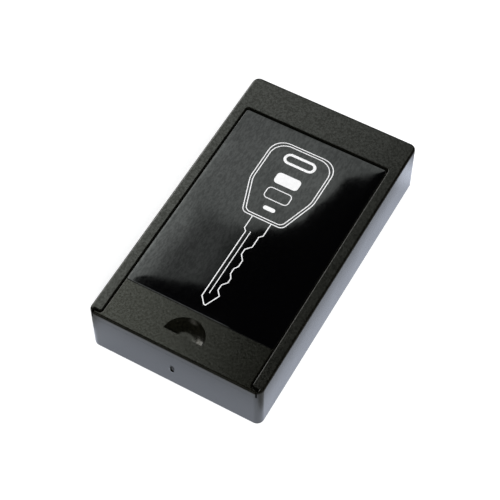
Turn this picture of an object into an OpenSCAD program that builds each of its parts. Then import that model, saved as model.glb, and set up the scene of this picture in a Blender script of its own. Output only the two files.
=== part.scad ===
// Key box with magnets in its base and a lid that slides off over the front wall.
// X runs across the box, Y from the front (thumb scoop) to the fixed land at the back, Z up.
// The origin is the middle of the plane that the pole plates stand on. Sizes are in millimetres.

/* [Box] */
// Overall length, front to back
box_l = 110; // [100:1:140]
// Overall width
box_w = 63; // [56:1:80]
// Overall height, from the pole plates' edges to the top of the rails
box_h = 21; // [20:0.5:28]
// Radius of the upright outer corners
corner_r = 2.5; // [2:0.1:3]
// Rounding along the outer top edges
top_edge_r = 0.8; // [0.5:0.1:2]
// Rounding along the outer bottom edges
bottom_edge_r = 0.5; // [0.2:0.1:0.8]

/* [Housing] */
// Thickness of the outer walls
wall_t = 1.4; // [1.2:0.1:1.6]
// Thickness of the inner walls beside and behind the key space
inner_wall_t = 1.3; // [1:0.1:1.5]
// Thickness of the key space's floor
floor_t = 1.5; // [1.2:0.1:2]
// Width of each rail beside the lid, as seen from above
rail_w = 4; // [3.4:0.1:5]
// Thickness of the rails over the lid's tongues
rail_t = 1.3; // [1:0.1:1.5]
// Width of the ledge that each tongue slides on
ledge_w = 2.5; // [2.2:0.1:3]
// Thickness of that ledge over the hollow side wall
ledge_t = 1.2; // [1:0.1:1.5]
// Length of the fixed land behind the lid
land_w = 13.5; // [13:0.1:20]
// Thickness of the land's top skin
land_t = 1.6; // [1.2:0.1:2]
// Radius of the back corners of the lid's opening
opening_r = 1.3; // [0.8:0.1:1.6]
// Radius of the rails' front corners, as seen from above
rail_end_r = 0.7; // [0.4:0.1:1]
// Rounding along the upper edges of the opening
opening_edge_r = 0.25; // [0.1:0.05:0.4]
// Thickness of the ribs on the underside of the floor
rib_t = 1; // [0.8:0.1:1.3]
// Number of long ribs under the floor
rib_count = 5; // [3:2:7]
// Distance between the long ribs
rib_pitch = 9.5; // [7:0.5:9.5]
// Distance of the moulding gate's mark from the middle of the front wall
gate_x = -0.7; // [-5:0.1:5]
// Height of the mark's middle above the ground
gate_z = 9.3; // [8:0.1:12]
// Width of the mark
gate_w = 1.3; // [0.8:0.1:2]
// Height of the mark
gate_h = 3.4; // [2:0.1:4]
// Depth of the mark
gate_d = 0.45; // [0.2:0.05:0.6]

/* [Lid] */
// How far the lid's top lies below the rails
lid_drop = 0.2; // [0.1:0.05:0.4]
// Thickness of the lid's tongues
tongue_t = 1.5; // [1.2:0.1:1.8]
// Thickness of the lid's skin under the label
lid_skin_t = 1.4; // [1.2:0.1:1.5]
// Depth, front to back, of the bar that covers the front wall
bar_d = 1.2; // [1:0.1:1.6]
// How far the lid's tail reaches under the land
tail_l = 2.6; // [2:0.1:3.5]
// Radius of the lid's back corners
lid_corner_r = 1; // [0.6:0.1:1.2]
// Rounding along the lid's upper side edges
lid_edge_r = 0.3; // [0.1:0.05:0.5]
// Number of hollow bays in the lid's underside
lid_bays = 4; // [2:1:6]
// Width of the thumb scoop
scoop_w = 14.4; // [12:0.2:18]
// Depth of the thumb scoop
scoop_depth = 1.9; // [1.4:0.1:2]
// Radius that the scoop's floor rises with
scoop_sweep_r = 7; // [3:0.5:8]
// Distance from the box's front to the scoop's straight wall
scoop_back = 6.5; // [5:0.1:8]
// Height of the snap bumps on the tongues
snap_h = 0.1; // [0.05:0.01:0.12]
// Length of the snap bumps
snap_w = 1.4; // [0.8:0.1:1.5]
// Distance from the box's front to the snap bumps
snap_back = 8; // [6:0.5:12]

/* [Label] */
// Distance from the box's front to the label
label_back = 16.1; // [15:0.1:25]
// Margin between the label and the field's side and back edges
label_margin = 0.1; // [0.05:0.05:1]
// Thickness of the label's film
label_t = 0.35; // [0.3:0.05:0.45]
// Depth of the step that the label lies on
label_step = 0.3; // [0.2:0.05:0.3]
// Radius of the label's corners
label_r = 0.9; // [0.5:0.1:1.2]
// Rounding along the label's upper edges
label_edge_r = 0.25; // [0.1:0.05:0.3]

/* [Magnets] */
// Length of each magnet bar, across the box
magnet_l = 40; // [30:1:44]
// Width of each magnet bar
magnet_w = 8; // [6:0.5:10]
// Height of each magnet bar
magnet_h = 4.8; // [4:0.1:5.5]
// How far each magnet stays above its pole plates' edges
magnet_inset = 0.8; // [0.5:0.1:1.2]
// Distance of each magnet from the middle of the box
magnet_y = 30; // [22:1:32]
// Thickness of the steel pole plates
pole_t = 1.2; // [0.8:0.1:1.5]
// Length of the ears that hold a pole plate above the cover
pole_ear = 2.5; // [1.5:0.1:3]
// How far the pole plates stand below the cover
pole_proud = 0.3; // [0.2:0.05:0.5]

/* [Cover and screws] */
// Thickness of the bottom cover
cover_t = 1.5; // [1.3:0.1:1.8]
// Distance of each screw from the middle, across the box
screw_x = 24; // [23:0.5:25]
// Distance of the front screws from the box's front
screw_front = 8; // [7:0.5:10]
// Distance of the back screws from the box's back
screw_rear = 7; // [6.5:0.1:7]
// Radius of a screw's thread
screw_r = 1.1; // [1:0.05:1.2]
// Radius of a screw's head
screw_head_r = 2.1; // [1.9:0.1:2.3]
// Height of a screw's cone-shaped head
screw_head_h = 1.2; // [1:0.1:1.25]
// Length of a screw with its head
screw_l = 5; // [4.5:0.1:5.4]
// Radius of the bosses that the screws cut into
boss_r = 2.5; // [2.2:0.1:2.7]

/* [Clearances] */
// Running gap above and below the lid's tongues
slide_gap = 0.15; // [0.13:0.01:0.25]
// Gap between a tongue's edge and its groove
side_gap = 0.5; // [0.3:0.05:0.6]
// Gap between the lid's raised field and a rail
rail_gap = 0.5; // [0.4:0.05:0.7]
// Gap between the front bar and the rails' ends
bar_gap = 0.75; // [0.4:0.05:0.8]
// Gap between the front bar and the top of the front wall
bar_seat_gap = 0.06; // [0.04:0.01:0.12]
// Gap between the lid's raised field and the land
back_gap = 0.75; // [0.4:0.05:0.9]
// Gap behind the lid's tail in its slot
tail_gap = 0.4; // [0.3:0.05:0.6]
// Gap between the label and the step in front of it
label_gap = 0.1; // [0.05:0.05:0.2]
// Gap around the bottom cover, and between the cover and the long ribs
cover_gap = 0.2; // [0.1:0.05:0.3]
// Gap around the magnets in their pockets and windows
magnet_gap = 0.15; // [0.1:0.05:0.3]
// Gap around each screw
screw_gap = 0.06; // [0.03:0.01:0.1]

/* [Hidden] */
$fn = 48;

// A cut goes this far past the face that it opens
past = 1;

// Heights, from the ground up
rim_z = pole_proud;
cover_top_z = rim_z + cover_t;
floor_under_z = magnet_inset + magnet_h;
floor_z = floor_under_z + floor_t;
rail_under_z = box_h - rail_t;
tongue_top_z = rail_under_z - slide_gap;
lid_under_z = tongue_top_z - tongue_t;
ledge_z = lid_under_z - slide_gap;
lid_top_z = box_h - lid_drop;
label_under_z = lid_top_z - label_step;
side_hollow_top_z = ledge_z - ledge_t;

// Places along the box
front_y = -box_l / 2;
land_y = box_l / 2 - land_w;
rail_end_y = front_y + bar_d + bar_gap;
lid_field_end_y = land_y - back_gap;
lid_tail_end_y = land_y + tail_l;
tail_slot_end_y = lid_tail_end_y + tail_gap;
label_front_y = front_y + label_back;
label_end_y = lid_field_end_y - label_margin;
scoop_y = front_y + scoop_back;
snap_y = front_y + snap_back;

// Widths across the box
inner_w = box_w - 2 * wall_t;
inner_l = box_l - 2 * wall_t;
inner_r = corner_r - wall_t;
opening_w = box_w - 2 * rail_w;
key_w = inner_w - 2 * ledge_w;
tongue_w = inner_w - 2 * side_gap;
field_w = opening_w - 2 * rail_gap;
label_w = field_w - 2 * label_margin;
snap_x = (tongue_w + opening_w) / 4;

// A magnet between its two pole plates
stack_w = magnet_w + 2 * pole_t;
pole_y = (magnet_w + pole_t) / 2;
pocket_l = magnet_l + 2 * pole_ear + 2 * magnet_gap;
pocket_w = stack_w + 2 * magnet_gap;

// Screw places, as [x, y]
screw_spots = [
    for (x = [-screw_x, screw_x], y = [front_y + screw_front, -front_y - screw_rear]) [x, y]
];
screw_inset = 0.1;
screw_tip_h = 0.8;
screw_tip_r = 0.2;
thread_h = 0.25;
thread_pitch = 0.85;
thread_run_in = 0.3;
recess_w = 0.5;
recess_l = 2.2;
recess_d = 0.8;
pilot_tip_gap = 0.3;
screw_core_r = screw_r - thread_h;
thread_start = screw_head_h + thread_run_in;
thread_turns = floor((screw_l - screw_tip_h - thread_start) / thread_pitch);
pilot_top_z = rim_z + screw_inset + screw_l + pilot_tip_gap;

// Small roundings of the magnet bars' and the pole plates' corners
magnet_edge_r = 0.4;
pole_edge_r = 0.3;

// Rounded rectangle, centred, w across and l along
module plan(w, l, r) {
    square([w - 2 * r, l], center = true);
    square([w, l - 2 * r], center = true);
    for (x = [-1, 1], y = [-1, 1])
        translate([x * (w / 2 - r), y * (l / 2 - r)]) circle(r);
}

// Cross-section of a slab's rim: r deep, h high, rounded rt at the top and rb at the bottom
module rim_profile(r, h, rt, rb) {
    difference() {
        square([r, h]);
        translate([r - rt, h - rt]) difference() {
            square(rt + past);
            circle(rt);
        }
        if (rb > 0) translate([r - rb, rb]) difference() {
            translate([0, -rb - past]) square(rb + past);
            circle(rb);
        }
    }
}

// Slab on the ground with upright corners of radius r and rounded top and bottom edges
module soft_slab(w, l, h, r, rt, rb) {
    for (side = [0, 180]) rotate(side) {
        translate([w / 2 - r, l / 2 - r, 0]) rotate_extrude(angle = 90) rim_profile(r, h, rt, rb);
        translate([r - w / 2, l / 2 - r, 0]) rotate(90) rotate_extrude(angle = 90) rim_profile(r, h, rt, rb);
        translate([w / 2 - r, l / 2 - r, 0]) rotate([90, 0, 0])
            linear_extrude(l - 2 * r) rim_profile(r, h, rt, rb);
        translate([r - w / 2, l / 2 - r, 0]) rotate([90, 0, 90])
            linear_extrude(w - 2 * r) rim_profile(r, h, rt, rb);
    }
    translate([r - w / 2, r - l / 2, 0]) cube([w - 2 * r, l - 2 * r, h]);
}

// Box between two corners, symmetric in X
module band(w, y0, y1, z0, z1) {
    translate([-w / 2, y0, z0]) cube([w, y1 - y0, z1 - z0]);
}

// Round bar along X, w long about the middle x, that stands h proud of the plane at z
module snap_bar(x, w, y, z, h) {
    r = tongue_t / 2;
    translate([x - w / 2, y, z + h - r]) rotate([0, 90, 0]) cylinder(r = r, h = w);
}

// ---- Housing ----

// Space that holds the keys
module key_space() {
    y0 = front_y + wall_t;
    translate([0, (y0 + land_y) / 2, floor_z])
        linear_extrude(ledge_z - floor_z + past) plan(key_w, land_y - y0, opening_r);
}

// What a square corner has outside its rounding of radius r
module corner_rest(r) {
    difference() {
        square(r);
        translate([r, r]) circle(r);
    }
}

// Cut that rounds an upper edge by r: the edge is at the origin, the material at x > 0
module edge_profile(r) {
    difference() {
        translate([-r, -r]) square([2 * r, r + past]);
        translate([r, -r]) circle(r);
    }
}

// Rounds a straight upper edge that starts at [x, y] and runs l towards the given direction
module edge_run(x, y, l, direction) {
    translate([x, y, box_h]) rotate(direction) rotate([90, 0, 90])
        linear_extrude(l) edge_profile(opening_edge_r);
}

// Rounded upper edges on the right: back corner, rail, rail end and front post
module right_opening_edges() {
    x = opening_w / 2;
    translate([x - opening_r, land_y - opening_r, box_h]) rotate_extrude(angle = 90)
        translate([opening_r, 0]) edge_profile(opening_edge_r);
    edge_run(x, land_y - opening_r, land_y - opening_r - rail_end_y - rail_end_r, -90);
    translate([x + rail_end_r, rail_end_y + rail_end_r, box_h]) rotate(180) rotate_extrude(angle = 90)
        translate([rail_end_r, 0]) mirror([1, 0]) edge_profile(opening_edge_r);
    edge_run(x + rail_end_r, rail_end_y, inner_w / 2 - x - rail_end_r, 0);
    edge_run(inner_w / 2, rail_end_y, rail_end_y - front_y + past, -90);
}

// Way of the lid: the opening between the rails, the grooves under them, and the open front
module lid_way() {
    l = land_y - front_y + 2 * opening_r;
    translate([0, 0, ledge_z]) linear_extrude(box_h - ledge_z + past) {
        translate([0, land_y - l / 2]) plan(opening_w, l, opening_r);
        for (s = [0, 1]) mirror([s, 0]) translate([opening_w / 2, rail_end_y]) corner_rest(rail_end_r);
    }
    band(inner_w, front_y - past, tail_slot_end_y, ledge_z, rail_under_z);
    band(inner_w, front_y - past, rail_end_y, ledge_z, box_h + past);
    for (s = [0, 1]) mirror([s, 0, 0]) right_opening_edges();
    edge_run(opening_r - opening_w / 2, land_y, opening_w - 2 * opening_r, 0);
}

// Seats of the two magnets, open downwards
module magnet_pockets() {
    for (s = [-1, 1])
        translate([0, s * magnet_y, rim_z]) linear_extrude(floor_under_z - rim_z)
            plan(pocket_l, pocket_w, magnet_gap);
}

// What stands in the hollow underside: pocket walls, long ribs and screw bosses
module underside_ribs() {
    rib_top = box_h - land_t;
    for (s = [-1, 1])
        translate([0, s * magnet_y, cover_top_z]) linear_extrude(rib_top - cover_top_z)
            square([pocket_l + 2 * inner_wall_t, pocket_w + 2 * inner_wall_t], center = true);
    for (i = [0 : rib_count - 1])
        translate([(i - (rib_count - 1) / 2) * rib_pitch - rib_t / 2, front_y, cover_top_z + cover_gap])
            cube([rib_t, box_l, rib_top - cover_top_z]);
    for (p = screw_spots)
        translate([p[0], p[1], cover_top_z]) cylinder(r = boss_r, h = rib_top - cover_top_z);
}

// Everything that is hollow below the key space, the ledges and the land
module underside_hollow() {
    slot_w = ledge_w - inner_wall_t;
    back_y = land_y + inner_wall_t;
    difference() {
        union() {
            translate([0, 0, rim_z - past]) linear_extrude(floor_under_z - rim_z + past)
                plan(inner_w, inner_l, inner_r);
            for (s = [-1, 1])
                translate([s * (inner_w - slot_w) / 2 - slot_w / 2, -inner_l / 2 + inner_r, rim_z])
                    cube([slot_w, inner_l - 2 * inner_r, side_hollow_top_z - rim_z]);
            band(inner_w, back_y, inner_l / 2 - inner_r, rim_z, side_hollow_top_z);
            band(inner_w, tail_slot_end_y + inner_wall_t, inner_l / 2 - inner_r, rim_z, box_h - land_t);
        }
        underside_ribs();
    }
    magnet_pockets();
}

// Bores that the screws cut their threads in
module screw_pilots() {
    for (p = screw_spots)
        translate([p[0], p[1], rim_z]) cylinder(r = screw_r + screw_gap, h = pilot_top_z - rim_z);
}

// Oblong with round ends, centred, w wide and l long
module oblong(w, l) {
    square([w, l - w], center = true);
    for (s = [-1, 1]) translate([0, s * (l - w) / 2]) circle(w / 2);
}

// Recess on the front wall where the moulding gate was cut off, with the gate's stub in it
module gate_mark() {
    translate([gate_x, front_y - past, gate_z]) rotate([-90, 0, 0]) difference() {
        linear_extrude(past + gate_d) oblong(gate_w, gate_h);
        translate([0, 0, past + gate_d / 2]) linear_extrude(gate_d) oblong(gate_w / 3, gate_h / 2);
    }
}

module housing() {
    color("dimgray") difference() {
        translate([0, 0, rim_z])
            soft_slab(box_w, box_l, box_h - rim_z, corner_r, top_edge_r, bottom_edge_r);
        key_space();
        lid_way();
        underside_hollow();
        screw_pilots();
        gate_mark();
        for (s = [-1, 1])
            snap_bar(s * snap_x, snap_w + 2 * side_gap, snap_y, rail_under_z, snap_h);
    }
}

// ---- Lid ----

// Thumb scoop: half a round dish behind a straight upright wall
module scoop_cut() {
    run = sqrt(pow(scoop_sweep_r, 2) - pow(scoop_sweep_r - scoop_depth, 2));
    flat_r = scoop_w / 2 - run;
    translate([0, scoop_y, lid_top_z]) rotate_extrude(angle = 180) {
        translate([0, -scoop_depth]) square([flat_r, scoop_depth + past]);
        intersection() {
            translate([flat_r, scoop_sweep_r - scoop_depth]) circle(scoop_sweep_r);
            translate([flat_r, -scoop_depth]) square([run, scoop_depth]);
        }
        translate([flat_r, 0]) square([run, past]);
    }
}

// Hollow bays in the lid's underside: a row under the label and one on each side of the scoop
module lid_underside_bays() {
    top = label_under_z - lid_skin_t;
    edge = lid_skin_t;
    w = field_w - 2 * edge;
    y0 = label_front_y;
    step = (lid_field_end_y - edge - y0 + rib_t) / lid_bays;
    side_w = (w - scoop_w) / 2 - edge;
    for (i = [0 : lid_bays - 1])
        band(w, y0 + i * step, y0 + (i + 1) * step - rib_t, lid_under_z - past, top);
    for (s = [-1, 1])
        translate([s * (w - side_w) / 2, 0, 0])
            band(side_w, front_y + wall_t + edge, y0 - rib_t, lid_under_z - past, top);
}

// Rounded inner corner between the field and the front bar, with its upper edge rounded too
module lid_inner_corner() {
    r = rail_end_r + rail_gap;
    h = lid_top_z - lid_under_z;
    translate([field_w / 2, front_y + bar_d, lid_under_z]) difference() {
        translate([-lid_edge_r, -lid_edge_r, 0]) cube([r + lid_edge_r, r + lid_edge_r, h]);
        translate([r, r, -past]) cylinder(r = r, h = h + 2 * past);
        translate([r, r, h]) rotate(180) rotate_extrude(angle = 90)
            translate([r, 0]) edge_profile(lid_edge_r);
    }
}

// The lid before it is cut to the box's outer shape
module lid_blank() {
    field_l = lid_field_end_y - front_y + corner_r;
    translate([0, lid_field_end_y - field_l / 2, lid_under_z])
        soft_slab(field_w, field_l, lid_top_z - lid_under_z, lid_corner_r, lid_edge_r, lid_edge_r / 2);
    tongue_l = lid_tail_end_y - front_y - bar_d;
    translate([0, lid_tail_end_y - tongue_l / 2, lid_under_z])
        linear_extrude(tongue_t) plan(tongue_w, tongue_l, lid_corner_r);
    bar_l = bar_d + corner_r;
    bar_under_z = ledge_z + bar_seat_gap;
    translate([0, front_y + bar_d - bar_l / 2, bar_under_z])
        soft_slab(tongue_w, bar_l, lid_top_z - bar_under_z, 2 * lid_edge_r, lid_edge_r, 0);
    band(tongue_w, front_y, front_y + bar_d + corner_r, lid_under_z, tongue_top_z);
    for (s = [0, 1]) mirror([s, 0, 0]) lid_inner_corner();
}

module lid() {
    color("darkslategray") difference() {
        union() {
            intersection() {
                lid_blank();
                translate([0, 0, rim_z])
                    soft_slab(box_w, box_l, lid_top_z - rim_z, corner_r, top_edge_r, bottom_edge_r);
            }
            for (s = [-1, 1]) snap_bar(s * snap_x, snap_w, snap_y, tongue_top_z, snap_h);
        }
        band(box_w, label_front_y, lid_tail_end_y, label_under_z, lid_top_z + past);
        scoop_cut();
        lid_underside_bays();
    }
}

module lid_label() {
    y0 = label_front_y + label_gap;
    color("black") translate([0, (y0 + label_end_y) / 2, label_under_z])
        soft_slab(label_w, label_end_y - y0, label_t, label_r, label_edge_r, 0);
}

// ---- Base ----

module bottom_cover() {
    color("black") difference() {
        translate([0, 0, rim_z]) linear_extrude(cover_t)
            plan(inner_w - 2 * cover_gap, inner_l - 2 * cover_gap, inner_r);
        for (s = [-1, 1])
            translate([0, s * magnet_y, rim_z - past]) linear_extrude(cover_t + 2 * past)
                plan(magnet_l + 2 * magnet_gap, pocket_w, 2 * magnet_gap);
        for (p = screw_spots) translate([p[0], p[1], rim_z]) {
            translate([0, 0, -past]) cylinder(r = screw_r + screw_gap, h = cover_t + 2 * past);
            translate([0, 0, -past]) cylinder(r = screw_head_r + screw_gap, h = past + screw_inset);
            translate([0, 0, screw_inset])
                cylinder(r1 = screw_head_r + screw_gap, r2 = screw_r + screw_gap, h = screw_head_h);
        }
    }
}

// Countersunk self-tapping screw, head down, with its thread as rings and a cross recess
module cover_screw() {
    crests = [
        for (i = [0 : thread_turns - 1])
            for (p = [[screw_core_r, 0], [screw_r, 0.4], [screw_core_r, 0.8]])
                [p[0], thread_start + (i + p[1]) * thread_pitch]
    ];
    difference() {
        rotate_extrude() polygon(concat(
            [[0, 0], [screw_head_r, 0], [screw_core_r, screw_head_h]],
            crests,
            [[screw_core_r, screw_l - screw_tip_h], [screw_tip_r, screw_l], [0, screw_l]]
        ));
        for (turn = [0, 90])
            rotate(turn) translate([-recess_l / 2, -recess_w / 2, -past])
                cube([recess_l, recess_w, past + recess_d]);
    }
}

module cover_screws() {
    color("silver") for (p = screw_spots)
        translate([p[0], p[1], rim_z + screw_inset]) cover_screw();
}

// Ferrite bar, magnetised from one pole plate to the other; side is -1 for front, 1 for rear
module magnet_bar(side) {
    color("gray") translate([0, side * magnet_y, magnet_inset])
        linear_extrude(magnet_h) plan(magnet_l, magnet_w, magnet_edge_r);
}

// Steel plate on one face of a magnet: its lower edge passes the cover, its ears rest on it
module pole_plate(side, face) {
    h = floor_under_z;
    color("silver") translate([0, side * magnet_y + face * pole_y + pole_t / 2, 0]) rotate([90, 0, 0])
        linear_extrude(pole_t) {
            translate([0, h / 2]) plan(magnet_l, h, pole_edge_r);
            translate([0, (h + cover_top_z) / 2]) plan(magnet_l + 2 * pole_ear, h - cover_top_z, pole_edge_r);
        }
}

module magnet_front() { magnet_bar(-1); }
module magnet_rear() { magnet_bar(1); }
module pole_plate_front_outer() { pole_plate(-1, -1); }
module pole_plate_front_inner() { pole_plate(-1, 1); }
module pole_plate_rear_inner() { pole_plate(1, -1); }
module pole_plate_rear_outer() { pole_plate(1, 1); }

housing();
lid();
lid_label();
bottom_cover();
cover_screws();
magnet_front();
magnet_rear();
pole_plate_front_outer();
pole_plate_front_inner();
pole_plate_rear_inner();
pole_plate_rear_outer();
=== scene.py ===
"""Dresses and lights a key box with base magnets and a slide-off lid.

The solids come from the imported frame. This script gives each of them its finish, lays the
glossy label film and its printed key over the lid, and sets the studio and the camera.
Sizes of the film, the print and the window sheet's outline are in millimetres, and MM turns
them into metres. Depths and patterns of the finishes, and the studio, are in metres, apart from
the camera's distance and aim.
"""

from __future__ import annotations

import logging
import math
from dataclasses import dataclass, field
from enum import Enum
from typing import Sequence, Union

import bmesh
import bpy
import numpy as np
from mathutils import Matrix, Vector


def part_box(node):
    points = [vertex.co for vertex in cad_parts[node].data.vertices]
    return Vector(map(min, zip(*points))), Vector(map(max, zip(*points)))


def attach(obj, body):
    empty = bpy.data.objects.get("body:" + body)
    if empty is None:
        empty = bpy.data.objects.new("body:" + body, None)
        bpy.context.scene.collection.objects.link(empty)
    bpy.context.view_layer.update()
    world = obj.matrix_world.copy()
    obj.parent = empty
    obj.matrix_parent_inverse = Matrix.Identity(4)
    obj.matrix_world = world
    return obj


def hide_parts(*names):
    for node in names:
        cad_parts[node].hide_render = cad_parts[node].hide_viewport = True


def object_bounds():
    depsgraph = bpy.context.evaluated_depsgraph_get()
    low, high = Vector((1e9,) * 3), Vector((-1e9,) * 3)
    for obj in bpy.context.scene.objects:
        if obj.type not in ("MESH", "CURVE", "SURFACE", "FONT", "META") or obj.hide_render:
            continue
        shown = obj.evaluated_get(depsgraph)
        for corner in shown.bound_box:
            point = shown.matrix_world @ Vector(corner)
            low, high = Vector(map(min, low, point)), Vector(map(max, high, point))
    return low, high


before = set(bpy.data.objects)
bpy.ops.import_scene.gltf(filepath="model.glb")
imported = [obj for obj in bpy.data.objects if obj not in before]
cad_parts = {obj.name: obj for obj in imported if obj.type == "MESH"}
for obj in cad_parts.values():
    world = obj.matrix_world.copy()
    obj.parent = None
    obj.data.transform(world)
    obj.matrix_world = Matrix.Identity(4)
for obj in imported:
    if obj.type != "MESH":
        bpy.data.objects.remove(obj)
CAD_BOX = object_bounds()

log = logging.getLogger("key_box")

MM = 0.001
SHARP_ANGLE = math.radians(40)
MERGE_DISTANCE = 1e-7
WHITE = (1.0, 1.0, 1.0, 1.0)

Pair = tuple[float, float]
Triple = tuple[float, float, float]
Colour = Triple
Input = Union[float, tuple, bpy.types.NodeSocket]


class Body(Enum):
    """The record's bodies that new pieces ride on."""

    LID = "slide_lid"


class Slot(Enum):
    """Names of the record's material slots for the film and the ink."""

    FILM = "label_film"
    INK = "label_ink"


# ---- Nodes and materials ----


class Wiring:
    """Places nodes in one node tree and joins them."""

    def __init__(self, tree: bpy.types.NodeTree) -> None:
        """Starts on a tree.

        Args:
            tree: The material's or group's node tree.
        """
        self.tree = tree

    def fill(self, socket: bpy.types.NodeSocket, value: Input) -> None:
        """Sets a socket to a value, or joins it to another node's output."""
        if isinstance(value, bpy.types.NodeSocket):
            self.tree.links.new(value, socket)
        else:
            socket.default_value = value

    def feed(self, node: bpy.types.Node, *inputs: tuple[Union[str, int], Input]) -> None:
        """Fills a node's inputs.

        Args:
            node: The node.
            inputs: Pairs of an input's name or number and a value or another node's output.
        """
        for name, value in inputs:
            self.fill(node.inputs[name], value)

    def add(self, kind: str, *inputs: tuple[Union[str, int], Input], **settings: object) -> bpy.types.Node:
        """Adds a node, sets its properties and fills its inputs.

        Args:
            kind: The node's type, such as "ShaderNodeMath".
            inputs: Pairs as in feed.
            settings: The node's properties by name.

        Returns:
            The new node.
        """
        node = self.tree.nodes.new(kind)
        for name, value in settings.items():
            setattr(node, name, value)
        self.feed(node, *inputs)
        return node

    def math(self, operation: str, a: Input, b: Input = 0.0, clamp: bool = False) -> bpy.types.NodeSocket:
        """Does arithmetic on two values.

        Args:
            operation: The Math node's operation.
            a: The first value.
            b: The second value.
            clamp: Whether the result stays between 0 and 1.

        Returns:
            The result's socket.
        """
        return self.add("ShaderNodeMath", (0, a), (1, b), operation=operation, use_clamp=clamp).outputs[0]

    def ramp(
        self, value: Input, low: float, high: float, to: Pair = (0.0, 1.0),
    ) -> bpy.types.NodeSocket:
        """Maps a value smoothly from one range to another, and holds it at the ends.

        Args:
            value: The value to map.
            low: The value that gives to[0].
            high: The value that gives to[1].
            to: The results at low and high.

        Returns:
            The result's socket.
        """
        node = self.add(
            "ShaderNodeMapRange", ("Value", value), ("From Min", low), ("From Max", high),
            ("To Min", to[0]), ("To Max", to[1]), interpolation_type="SMOOTHSTEP",
        )
        return node.outputs["Result"]

    def noise(
        self, vector: Input, scale: Input, detail: float = 2.0, roughness: float = 0.5,
    ) -> bpy.types.NodeSocket:
        """Adds a noise pattern.

        Args:
            vector: The place that the pattern is read at.
            scale: Its waves for each metre.
            detail: How many finer layers it has.
            roughness: How strong the finer layers are.

        Returns:
            The noise value's socket, about 0 to 1.
        """
        return self.add(
            "ShaderNodeTexNoise", ("Vector", vector), ("Scale", scale),
            ("Detail", detail), ("Roughness", roughness),
        ).outputs["Fac"]

    def place(self) -> bpy.types.NodeSocket:
        """Gives the place on the piece, in metres in the shared frame."""
        return self.add("ShaderNodeTexCoord").outputs["Object"]

    def stretched(self, scale: Triple) -> bpy.types.NodeSocket:
        """Gives the place on the piece, stretched by a factor along each axis."""
        return self.add("ShaderNodeMapping", ("Vector", self.place()), ("Scale", scale)).outputs["Vector"]

    def mix(self, factor: Input, a: Input, b: Input) -> bpy.types.NodeSocket:
        """Blends two colours.

        Args:
            factor: 0 gives a, 1 gives b.
            a: The first colour, with alpha.
            b: The second colour, with alpha.

        Returns:
            The blended colour's socket.
        """
        node = self.add("ShaderNodeMix", data_type="RGBA")
        for name, value in (("Factor_Float", factor), ("A_Color", a), ("B_Color", b)):
            self.fill(next(s for s in node.inputs if s.identifier == name), value)
        return next(s for s in node.outputs if s.identifier == "Result_Color")

    def bump(self, height: Input, depth: float) -> bpy.types.NodeSocket:
        """Turns a height into a normal, where a height of 1 is the depth in metres."""
        node = self.add("ShaderNodeBump", ("Height", height), ("Distance", depth), ("Strength", 1.0))
        return node.outputs["Normal"]


def opaque(colour: Colour) -> tuple[float, float, float, float]:
    """Adds full alpha to a colour."""
    return (*colour, 1.0)


def new_material(name: str) -> tuple[bpy.types.Material, Wiring]:
    """Makes a material that has no nodes yet.

    Args:
        name: The material's name.

    Returns:
        The new material and its wiring.
    """
    made = bpy.data.materials.new(name)
    made.use_nodes = True
    made.node_tree.nodes.clear()
    return made, Wiring(made.node_tree)


class SharedEffect:
    """A node group that several finishes place with their own values."""

    name = "effect"
    takes: tuple[tuple[str, float], ...] = ()
    gives: tuple[str, ...] = ()

    def __init__(self) -> None:
        """Builds the group once, with its named float inputs and outputs."""
        self.group = bpy.data.node_groups.new(self.name, "ShaderNodeTree")
        for name, value in self.takes:
            socket = self.group.interface.new_socket(name, in_out="INPUT", socket_type="NodeSocketFloat")
            socket.default_value = value
        for name in self.gives:
            self.group.interface.new_socket(name, in_out="OUTPUT", socket_type="NodeSocketFloat")
        wiring = Wiring(self.group)
        entry = wiring.add("NodeGroupInput")
        results = self.build(wiring, entry.outputs)
        wiring.add("NodeGroupOutput", *zip(self.gives, results))

    def build(self, w: Wiring, given: bpy.types.NodeOutputs) -> Sequence[bpy.types.NodeSocket]:
        """Builds the group's inside.

        Args:
            w: The group's wiring.
            given: The group's inputs, by name.

        Returns:
            One socket for each output, in the order of gives.
        """
        raise NotImplementedError

    def use(self, w: Wiring, *inputs: tuple[str, Input]) -> bpy.types.NodeOutputs:
        """Places the group in a material.

        Args:
            w: The material's wiring.
            inputs: Pairs of an input's name and its value.

        Returns:
            The placed group's outputs, by name.
        """
        return w.add("ShaderNodeGroup", *inputs, node_tree=self.group).outputs


class MouldGrain(SharedEffect):
    """Fine spark-eroded grain of a mould, its mottled unevenness, and slow flatter patches."""

    name = "mould_grain"
    takes = (("Grains per metre", 4200.0), ("Mottles per metre", 1350.0), ("Patches per metre", 60.0))
    gives = ("Height", "Mottle", "Patch")

    def build(self, w: Wiring, given: bpy.types.NodeOutputs) -> Sequence[bpy.types.NodeSocket]:
        """Builds the grain as in SharedEffect: three layers of noise, each slower than the last."""
        place = w.place()
        fine = w.noise(place, given["Grains per metre"], 2.0, 0.6)
        mottle = w.noise(place, given["Mottles per metre"], 2.0, 0.7)
        patch = w.noise(place, given["Patches per metre"], 3.0, 0.55)
        return fine, mottle, w.ramp(patch, 0.35, 0.65)


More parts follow.
